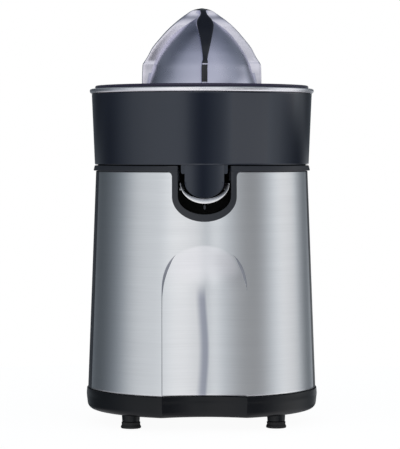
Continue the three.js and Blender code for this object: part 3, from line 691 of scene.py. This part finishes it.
def collar():
    """The collar: a flared ring, a deck with a shaft boss, and the U-shaped spout bay with its bezel."""
    ring = rounded(
        [
            [COLLAR_LOW_R, COLLAR_LOW, 0.4],
            [COLLAR_LOW_R - 0.1, BODY_TOP + 1.1, 0.4],
            [78.8, COLLAR_TOP, 0.5],
            [76.8, COLLAR_TOP, 0.4],
            [76.8, DECK_TOP, 0.4],
            [DECK_R, DECK_TOP],
            [DECK_R, DECK_LOW],
            [72.6, DECK_LOW],
            [72.6, 177],
            [74.4, 177],
            [74.4, COLLAR_LOW],
        ],
        4,
    )
    deck = rounded(
        [
            [DECK_R, DECK_TOP],
            [9.6, DECK_TOP, 0.8],
            [9.6, 210, 0.5],
            [7.3, 210, 0.3],
            [7.3, 189],
            [5.5, 189],
            [5.5, DECK_LOW],
            [DECK_R, DECK_LOW],
        ],
        4,
    )
    # The ring is open at the front, where the bay's walls cross it.
    gap = math.degrees(math.asin(BAY_HALF / 78.0))
    top = turned("collar_ring", ring, CHARCOAL, 200, 30, start=gap, sweep=360 - 2 * gap)
    pieces = [top, turned("deck", deck, CHARCOAL, 160, 30), spout_bay()]
    for i, j in CORNERS:
        post = rounded([[2.1, 70], [4.5, 70, 0.3], [4.5, 184], [2.1, 184]], 3)
        pieces.append(turned("post", post, CHARCOAL, 32, at=(i * POST_AT, j * POST_AT)))
    piece = join_all("collar", pieces)
    stands_for(piece, "housing", "satin_charcoal", "top_collar")


def bezel_front(x, z, proud):
    """A point on the bezel's face, which stands out of the body's round wall."""
    radius = min(body_radius(z) + proud, COLLAR_LOW_R - 0.05)
    return (x, -math.sqrt(radius**2 - x * x), z)


# The bezel's section: shares of the way from its inner to its outer edge, and how far it stands out there.
BEZEL_SECTION = [(0, 0.2), (0.02, 0.55), (0.08, 0.85), (0.16, BEZEL_PROUD), (0.5, BEZEL_PROUD + 0.05),
                 (0.84, BEZEL_PROUD), (0.93, 0.8), (0.985, 0.45), (1.0, 0.0), (1.0, -1.0)]
BEZEL_SWEEP = 4.0


def spout_bay():
    """The bay's walls and the bezel round its mouth, as one section carried along a U."""
    rings = []
    for share in spread(0, 1, 121):
        inner = u_point(BAY_HALF, BAY_LOW, COLLAR_TOP, share)
        outer = u_point(BEZEL_HALF, BEZEL_LOW, COLLAR_TOP, share)

        def front(t, proud, start=inner, end=outer):
            x, z = flared(start[0] + (end[0] - start[0]) * t, start[1] + (end[1] - start[1]) * t, t)
            return bezel_front(x, z, proud)

        ring = [(inner[0], BAY_BACK, inner[1]), (inner[0], BAY_MIDDLE, inner[1])]
        ring += [front(t, proud) for t, proud in BEZEL_SECTION]
        x, y, z = front(0.6, -1.6)
        rings.append(ring + [(x, y, z), (x, BAY_BACK - 0.2, z)])
    points, faces = loft(rings)
    walls = add_mesh("bay_walls", points, faces, CHARCOAL, 30)
    # The bay's inner faces get the near-black material: painted shade.
    walls.data.materials.append(BAY_SHADE_BLACK)
    size = len(rings[0])
    for i, face in enumerate(faces):
        if {p % size for p in face} in ({0, 1}, {1, 2}, {0, size - 1}):
            walls.data.polygons[i].material_index = 1
    return join_all("bay", [walls, bay_back()])


def flared(x, z, t):
    """The bezel's outer edge sweeps out into the collar's lower edge."""
    start = COLLAR_LOW - BEZEL_SWEEP
    if z > start and t > 0:
        rise = min(z - start, BEZEL_SWEEP)
        extra = BEZEL_SWEEP - math.sqrt(max(0.0, BEZEL_SWEEP * BEZEL_SWEEP - rise * rise))
        x += math.copysign(extra * t, x)
    return x, z


def bay_back():
    """The wall at the back of the bay, in near black as painted shade."""
    outline = [u_point(BAY_HALF + 1.0, BAY_LOW - 1.0, DECK_TOP - 0.1, share) for share in spread(0, 1, 61)]
    rings = [[(x, y, z) for x, z in outline] for y in (BAY_BACK, BAY_BACK + 1.8)]
    return lofted("bay_back", rings, BAY_SHADE_BLACK, 30)


LEAD_Z = 40


def grommet():
    """The sleeve where the cord would leave the rear panel."""
    profile = rounded([[3.2, 76.5], [8, 76.5, 0.5], [8, 79.4, 0.5], [6, 79.4], [6, 83.3], [8, 83.3, 0.4],
                       [7.2, 84.9, 0.6], [3.2, 84.9, 0.6]], 4)
    rings = [[(r * math.cos(a), y, LEAD_Z + r * math.sin(a)) for r, y in profile] for a in full_turn(64)]
    piece = lofted("lead_grommet", rings, RUBBER, wrap=True)
    stands_for(piece, "housing", "rubber_black", "cord_grommet")


# ---- Juice collector ----------------------------------------------------------------------------------
def collector():
    wall = 2.5
    profile = rounded(
        [
            [BOWL_LOW_R, BOWL_LOW, 0.7],
            [BOWL_TOP_R, BOWL_TOP, 0.3],
            [BOWL_TOP_R - wall, BOWL_TOP, 0.3],
            [76.4, 198, 4.0],
            [74, 194, 3.0],
            [13.2, 198, 1.5],
            [13.2, 224, 0.6],
            [10.8, 224, 0.4],
            [10.8, 195.5],
            [72, 191.4, 1.0],
            [74, BOWL_LOW, 0.4],
        ],
        5,
    )
    bowl = turned("bowl", profile, GLOSS, 240, 30)
    spigot = rounded([[76.5, 187.2, 0.3], [76.5, 189.5], [74.4, 189.5], [74.4, 187.2, 0.3]], 3)
    # The locator takes the same painted-shade black.
    locator = turned("locator", spigot, BAY_SHADE_BLACK, 200, 30, start=23, sweep=314)
    piece = join_all("collector_bowl", [bowl, locator, outlet_duct(), outlet_tab()])
    stands_for(piece, "collector", "gloss_black", "juice_collector")


DUCT_HALF = 13.9
DUCT_TOP = 190.5
DUCT_FOOT = 165.0
DUCT_ROUND = 11.0
DUCT_FACE = 78.2  # the face's distance from the middle at the duct's top
DUCT_BOW = 54.0  # the duct's face is more curved than the bowl above it
DUCT_LEAN = 0.036  # the face leans back towards its foot, like the bowl above it
DUCT_BACK = -60.0
DUCT_WALL = 1.9
DUCT_FLOOR = 1.6


def duct_half(z):
    """The duct's half width: straight sides, and a half-elliptical bottom."""
    share = max(0.0, min(1.0, (DUCT_FOOT + DUCT_ROUND - z) / DUCT_ROUND))
    return DUCT_HALF * math.sqrt(1 - share**2)


def duct_ring(z, inset):
    """The duct's plan outline at a height: a curved front, straight sides and a straight back."""
    half = max(duct_half(z) - inset, 0.4 - inset / 10)
    front = DUCT_FACE - inset - DUCT_LEAN * (DUCT_TOP - z)
    ring = [(x, DUCT_BOW - math.sqrt(DUCT_BOW**2 - x * x) - front, z) for x in spread(-half, half, 25)]
    return ring + [(half, DUCT_BACK - inset, z), (-half, DUCT_BACK - inset, z)]


def outlet_duct():
    heights = [DUCT_FOOT + DUCT_ROUND * (1 - math.cos(a)) for a in spread(0.0, math.pi / 2, 14)]
    heights += [178, 184, DUCT_TOP]
    outer = [duct_ring(z, 0.0) for z in reversed(heights)]
    inside = [z + DUCT_FLOOR for z in heights[:-1]] + [DUCT_TOP]
    inner = [duct_ring(z, DUCT_WALL) for z in inside]
    return lofted("duct", outer + inner, GLOSS, 40, wrap=True)


TAB_FACE = 77.0
TAB_BACK = -74.6


def outlet_tab():
    """The wider shoulder at the top of the duct, just behind its face."""
    rings = []
    for z, half in ((190, 16.5), (184, 16.5), (182.6, 16.3), (182.0, 15.7)):
        radius = TAB_FACE - DUCT_LEAN * (DUCT_TOP - z)
        ring = [(x, -math.sqrt(radius**2 - x * x), z) for x in spread(-half, half, 15)]
        rings.append(ring + [(half, TAB_BACK, z), (-half, TAB_BACK, z)])
    return lofted("tab", rings, GLOSS, 40)


def rim():
    """The rolled bright rim."""
    profile = rounded(
        [
            [77.5, RIM_LOW, 0.4],
            [81.4, RIM_LOW, 0.4],
            [RIM_R, RIM_LOW + 0.9, 0.9],
            [RIM_R, RIM_TOP - 0.5, 0.45],
            [81.2, RIM_TOP, 0.6],
            [77.5, RIM_TOP, 0.4],
        ],
        5,
    )
    piece = turned("rolled_rim", profile, ROLLED, 260, 40)
    stands_for(piece, "collector", "polished_metal", "collector_rim")


SPOUT_HALF = 17.3  # the lip's half width at its tips
SPOUT_TIP = 175.6  # height of the lip's tips
LIP_LOW = 161.3  # the lip's lowest point
LIP_TALL = 3.3  # the lip's height at its middle: it thins to nothing at its tips
LIP_FRONT = -84.6
PIN_Y = -66.0
PIN_Z = 171.0
PIN_BORE_R = 1.7
EAR = [(-76, 170.6), (-71.5, 174.4), (-69, 175.4), (-66, 175.6), (-63.4, 174.8), (-62.4, 172.4),
       (-62.8, 170.8), (-66, 169.8), (-72, 169.8)]


def trough_arc(half, bottom, y):
    """Half an ellipse from tip to tip, open upwards, at one depth."""
    return [(half * math.sin(a), y, SPOUT_TIP - (SPOUT_TIP - bottom) * math.cos(a))
            for a in spread(-math.pi / 2, math.pi / 2, 56)]


def trough():
    rows = []
    for share in spread(0, 1, 9):
        retreat = 0.35 * math.sin(math.pi * min(share * 3, 1) / 2)
        rows.append(trough_arc(SPOUT_HALF - 0.5 * share, LIP_LOW + LIP_TALL * share,
                               LIP_FRONT - retreat + 1.9 * share**2.2))
    floor_z = LIP_LOW + LIP_TALL
    rows += [trough_arc(SPOUT_HALF - 0.6, floor_z, y) for y in (-80.5, -76.5, -71.0, -68.0)]
    rows += [trough_arc(SPOUT_HALF - 0.1, floor_z - 1.1, y) for y in (-68.0, -71.0, -76.5, -79.5)]
    rows += [trough_arc(SPOUT_HALF, LIP_LOW + 1.2, -82.0), trough_arc(SPOUT_HALF, LIP_LOW + 0.1, -84.1)]
    points, faces = loft(rows, closed=False, wrap=True)
    count = len(rows[0])
    faces.append(tuple(count * row for row in range(len(rows))))
    faces.append(tuple(count * row + count - 1 for row in reversed(range(len(rows)))))
    return add_mesh("trough", points, faces, LIP_METAL, 35)


def spout():
    """The spout: a half-elliptical trough with a bright crescent lip, and ears on the duct's pins."""
    pieces = [trough()]
    for side in (-1, 1):
        ear = lofted("ear", [[(side * x, y, z) for y, z in EAR] for x in (14.5, 16.1)], ROLLED, 35)
        bore = [[(side * x, PIN_Y + PIN_BORE_R * math.cos(a), PIN_Z + PIN_BORE_R * math.sin(a))
                 for a in full_turn(32)] for x in (13.5, 17.0)]
        cut_out(ear, lofted("ear_bore", bore, ROLLED))
        pieces.append(ear)
    nib = [[(0.75 * math.cos(a), y, 158.6 + 1.6 * math.sin(a)) for a in full_turn(12)]
           for y in (-83.6, -79, -72)]
    pieces.append(lofted("nib", nib, CHARCOAL, 35))
    piece = join_all("tilting_spout", pieces)
    stands_for(piece, "spout", "polished_metal", "spout_trough")


# ---- Strainer -----------------------------------------------------------------------------------------
SLOTS = 36
SLOT_HALF = 1.1


def strainer():
    profile = rounded(
        [
            [STRAINER_R - 0.5, 243.9, 0.3],
            [STRAINER_R, 245, 0.5],
            [STRAINER_R - 0.9, STRAINER_TOP, 0.6],
            [75, STRAINER_TOP, 0.8],
            [73.4, 245, 0.8],
            [71.6, 236, 2.5],
            [69.5, 233.6, 1.5],
            [22.4, 233, 1.0],
            [22, 237, 0.5],
            [20, 237, 0.4],
            [20, 231],
            [70.4, 231.4, 1.0],
            [73.6, 235, 2.0],
            [75.4, 243.9, 0.3],
        ],
        4,
    )
    dish = turned("dish", profile, VIOLET, 240, 30)
    cutters = []
    for angle in full_turn(SLOTS):
        cutters.append(slot_cutter(27, 44, angle))
        cutters.append(slot_cutter(49, 67, angle + math.pi / SLOTS))
    cut_out(dish, join_all("slot_cutters", cutters))
    dish.name = "strainer_dish"
    stands_for(dish, "strainer", "violet_plastic", "strainer")


def slot_cutter(start, end, angle):
    """A long round-ended bar through the strainer's floor."""
    outline = []
    for centre, side in ((end - SLOT_HALF, 1), (start + SLOT_HALF, -1)):
        for a in spread(-math.pi / 2, math.pi / 2, 7):
            outline.append((centre + side * SLOT_HALF * math.cos(a), side * SLOT_HALF * math.sin(a)))
    rings = [[(*swung(x, y, angle), z) for x, y in outline] for z in (228.0, 236.0)]
    return lofted("cutter", rings, VIOLET)


# ---- Reamer -------------------------------------------------------------------------------------------
KINK = 260.6  # the cone's lower skirt ends here
CONE = [(239.5, 41.2), (248.2, 39.4), (252, 38.4), (257, 36.9), (KINK, 35.8), (265, 33.9), (270.7, 30.9),
        (277.6, 26.2), (284.2, 20.8), (289, 15.6), (293.4, 9.4), (297, 3.4)]
FIN = [(243, 43.8), (246, 44), (261, 43.6), (263, 42.8), (267, 40.2), (274, 36.4), (280.5, 31.1),
       (287.5, 24.7), (294.7, 16.6), (298.7, 11.3), (301.7, 6.2), (303, 0.5)]
FIN_HALF = [(243, 2.3), (262, 2.2), (264, 1.75), (274, 3.3), (285, 5.4), (290, 6.2), (294, 5.2), (298, 2.6),
            (303, 2.2)]
FIN_TURN = [(258, 1.2), (276, 3.6), (290, 5.6), (303, 6.6)]  # degrees: the fins wind slightly
FIN_EDGE = 1.3  # radius of the fins' long edges
CONE_WALL = 2.2
CONE_LOW = 243.0
DARK_STRIP_FROM = 248.0  # the front and back fins' painted dark reflection runs from here to the kink
# Above this height the apex is painted dark: painted reflection.
DARK_APEX_FROM = 301.4


def half_quadrant(cone, fin, half):
    """A fin's right flank in plan, from its tip's middle to halfway to the next fin, as (u, v)."""
    root = max(cone, 1.25 * half)
    fin = max(fin, 0.02)
    half = min(half, fin * 0.98)
    edge = min(FIN_EDGE, half * 0.9, fin * 0.5)
    points = [(fin, 0.0), (fin, max(0.0, half - edge) * 0.6), (fin, half - edge)]
    for k in (1, 2, 3):
        a = math.pi / 2 * k / 3
        points.append((fin - edge + edge * math.cos(a), half - edge + edge * math.sin(a)))
    foot = math.sqrt(max(root**2 - half**2, 0.0)) if root > half else 0.0
    foot = min(foot, fin - edge)
    start = fin - edge
    for k in (1, 2, 3):
        points.append((start + (foot - start) * k / 3, half))
    angle = math.atan2(half, max(foot, 1e-6))
    reach = min(root, math.hypot(foot, half)) if root > half else math.hypot(foot, half)
    for k in range(10):
        a = angle + 0.008 + (math.pi / 4 - angle - 0.008) * k / 9
        points.append((reach * math.cos(a), reach * math.sin(a)))
    return points


def reamer_ring(z):
    flank = half_quadrant(between(z, CONE), between(z, FIN), between(z, FIN_HALF))
    outline = [(u, -v) for u, v in flank[-2::-1]] + flank[1:]
    lead = math.radians(between(z, FIN_TURN))
    return [(*swung(u, v, quarter * math.pi / 2 + lead), z) for quarter in range(4) for u, v in outline]


def inner_ring(z):
    """A circle inside the cone's wall, with a point for each point of the outer ring."""
    radius = between(z, CONE) - CONE_WALL
    ring = []
    for x, y, _ in reamer_ring(z):
        scale = radius / math.hypot(x, y)
        ring.append((x * scale, y * scale, z))
    return ring


def paint_fin_reflections(cone):
    """Painted reflection on the fins: dark edges on the front and back fins, broken at the kink, a dark
    apex, and a brighter satin on the side fins as painted highlight.
    """
    cone.data.materials.append(FIN_DARK_REFLECTION)
    cone.data.materials.append(FIN_PAINTED_HIGHLIGHT)
    for face in cone.data.polygons:
        x, y, z = [c / MM for c in face.center]
        radius = math.hypot(x, y)
        front = abs(y) > abs(x)
        # Front and back fins get painted dark reflection, side fins a painted highlight.
        painted_dark = front and (z > KINK + 0.2 or DARK_STRIP_FROM < z < KINK - 0.2)
        if painted_dark and radius > between(z, FIN) - 0.55 or z > DARK_APEX_FROM:
            face.material_index = 1
        elif radius > between(z, CONE) + 0.9 and not front:
            face.material_index = 2


def reamer():
    heights = spread(CONE_LOW, 260.2, 12) + spread(261.0, 264.0, 8) + spread(265.0, 290.0, 30)
    heights += [290 + (APEX - 290) * share for share in eased(26, 2.0)[1:]]
    inside = [inner_ring(z) for z in reversed(spread(CONE_LOW, 291.0, 17))]
    cone = lofted("cone", inside + [reamer_ring(z) for z in heights], REAMER_METAL, 28)
    paint_fin_reflections(cone)
    skirt = rounded([[40.2, 243.2], [41.0, 239.5, 0.6], [38.8, 239.5, 0.6], [38.2, 243.2]], 3)
    hub = rounded([[7.5, 213.5, 0.3], [9.6, 213.5, 0.6], [9.6, 290.5], [7.5, 290.5]], 3)
    guard = rounded([[15, 217, 0.3], [17, 217, 0.6], [17, 285.0], [15, 285.0]], 3)
    pieces = [cone, turned("skirt_edge", skirt, REAMER_METAL, 160, 30),
              turned("hub", hub, REAMER_METAL, 64, 30), turned("guard", guard, REAMER_METAL, 96, 30)]
    piece = join_all("reamer_cone", pieces)
    stands_for(piece, "reamer", "reamer_metal", "reamer")


# ---- Return spring ------------------------------------------------------------------------------------
WIRE_R = 0.6
COIL_TURNS = 3.5


def return_spring():
    """The coil under the drive shaft's washer."""
    bottom = low("return_spring")[2]
    top = high("return_spring")[2]
    coil_r = high("return_spring")[0] - WIRE_R
    rings = []
    for share in spread(0, 1, 141):
        turn = math.tau * COIL_TURNS * share
        rise = bottom + WIRE_R + (top - bottom - 2 * WIRE_R) * share
        section = [(coil_r + WIRE_R * math.cos(a), rise + WIRE_R * math.sin(a)) for a in full_turn(14)]
        rings.append([(r * math.cos(turn), r * math.sin(turn), z) for r, z in section])
    piece = lofted("coil_spring", rings, ZINC, 40)
    stands_for(piece, "housing", "zinc_steel", "return_spring")
    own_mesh(piece)


# ---- Studio -------------------------------------------------------------------------------------------
EYE = Vector((-41.5, -1699.5, 199.1)) * MM
AIM = Vector((-1.3, 0.0, 143.9)) * MM
LENS = 184.9
FLOOR_R = 450.0


def camera():
    data = bpy.data.cameras.new("camera")
    data.lens = LENS
    data.sensor_width = 36.0
    data.clip_end = 20
    eye = bpy.data.objects.new("camera", data)
    eye.location = EYE
    eye.rotation_euler = (AIM - EYE).to_track_quat("-Z", "Y").to_euler()
    bpy.context.collection.objects.link(eye)
    bpy.context.scene.camera = eye


def floor():
    """A round pale floor, which reflections and bounced light leave out."""
    rings = [[(r * math.sin(a), -r * math.cos(a), -0.2) for a in full_turn(96)] for r in (FLOOR_R, 0.5)]
    points, faces = loft(rings, caps=False)
    faces.append(tuple(range(len(points) - 96, len(points))))
    material = node_material("studio_floor", (0.10, 0.10, 0.10), 0.8,
                             Emission_Color=(1, 1, 1, 1), Emission_Strength=0.95)
    piece = add_mesh("studio_floor", points, faces, material)
    piece.visible_glossy = False
    piece.visible_diffuse = False


# The studio's brightness by direction, in degrees from the front towards +X: at the horizon, then below it
# and above it.
BANDS = [
    (-180, 0.13), (-150, 0.07), (-138, 0.05), (-118, 0.13), (-100, 0.22), (-88, 0.38), (-72, 0.76),
    (-50, 0.70), (-38, 0.82), (-26, 1.44), (-14, 1.94), (-7, 1.68), (-2, 0.82), (3, 0.50), (8, 0.90),
    (13, 1.08), (18, 0.90), (28, 0.40), (40, 0.10), (52, 0.05), (62, 0.08), (72, 0.38), (84, 0.88),
    (98, 1.24), (110, 1.16), (122, 0.54), (140, 0.06), (160, 0.12), (180, 0.13),
]
LOW_BANDS = [
    (-180, 0.30), (-150, 0.20), (-138, 0.15), (-118, 0.07), (-103, 0.21), (-90, 0.42), (-78, 0.62),
    (-58, 0.86), (-30, 0.92), (-20, 0.84), (-13, 0.48), (-4, 0.16), (4, 0.22), (12, 0.36), (21, 0.54),
    (30, 1.00), (39, 1.52), (48, 1.62), (67, 1.14), (88, 0.62), (100, 0.36), (115, 0.10), (133, 0.06),
    (150, 0.40), (162, 1.00), (180, 0.60),
]
HIGH_BANDS = [
    (-180, 0.25), (-130, 0.20), (-108, 0.17), (-86, 0.19), (-70, 0.40), (-55, 0.58), (-28, 0.69),
    (-5, 0.72), (23, 0.82), (37, 0.86), (50, 0.78), (65, 0.60), (81, 0.48), (99, 0.29), (121, 0.22),
    (180, 0.25),
]
FLOOR_GLOW = (0.98, 0.96, 1.0, 1)
# Full brightness up to the softboxes' tops, dimmer overhead, by the sine of the direction's height.
OVERHEAD = [(0.45, (1, 1, 1)), (0.87, (0.6402, 0.66, 0.7128)), (0.95, (0.4074, 0.42, 0.4536)),
            (1.0, (0.24, 0.26, 0.32))]


def light_tint(value):
    """The dim directions are bluer than the bright ones."""
    share = min(1.0, value / 0.75)
    return value * (0.85 + 0.12 * share), value, value * (1.15 - 0.13 * share)


def studio():
    """A room that is bright and dark by direction. The camera itself sees plain white."""
    world = bpy.data.worlds.new("studio")
    bpy.context.scene.world = world
    world.use_nodes = True
    world.node_tree.nodes.clear()
    place = add_node(world, "TexCoord")
    x, y, z = add_node(world, "SeparateXYZ", place.outputs["Generated"]).outputs
    turn = computed(world, "ARCTAN2", x, computed(world, "MULTIPLY", y, -1.0))
    around = computed(world, "MULTIPLY_ADD", turn, 0.5 / math.pi, 0.5)
    lights = []
    for table in (BANDS, LOW_BANDS, HIGH_BANDS):
        stops = [((degrees + 180) / 360, light_tint(value)) for degrees, value in table]
        lights.append(color_ramp(world, around, stops, "B_SPLINE"))

    def blend(one, other, first, last, most=1.0):
        """From one colour to the other as the direction's height goes from first to last."""
        amount = add_node(world, "MapRange", z, first, last, interpolation_type="SMOOTHSTEP", To_Max=most)
        mix = add_node(world, "Mix", data_type="RGBA", Factor=amount.outputs["Result"], A=one, B=other)
        return mix.outputs[2]

    level = blend(lights[0], lights[1], -0.01, -0.04)
    lower = blend(level, lights[0], -0.12, -0.17)
    lowest = blend(lower, FLOOR_GLOW, -0.30, -0.55, 0.5)
    room = blend(lowest, lights[2], 0.24, 0.42)
    product = add_node(world, "Mix", data_type="RGBA", blend_type="MULTIPLY",
                       Factor=1.0, A=room, B=color_ramp(world, z, OVERHEAD))
    lit = add_node(world, "Background", product.outputs[2], 1.0)
    plain = add_node(world, "Background", (1, 1, 1, 1))
    path = add_node(world, "LightPath")
    seen = add_node(world, "MixShader", path.outputs["Is Camera Ray"], lit.outputs[0], plain.outputs[0])
    add_node(world, "OutputWorld", seen.outputs[0])


# ---- The scene ----------------------------------------------------------------------------------------
camera()
finish_frame_nodes()
steel_front()
rear_cover()
base_moulding()
foot_pads()
collar()
grommet()
collector()
rim()
spout()
strainer()
reamer()
return_spring()
floor()
studio()
bpy.context.scene.view_settings.view_transform = "Standard"
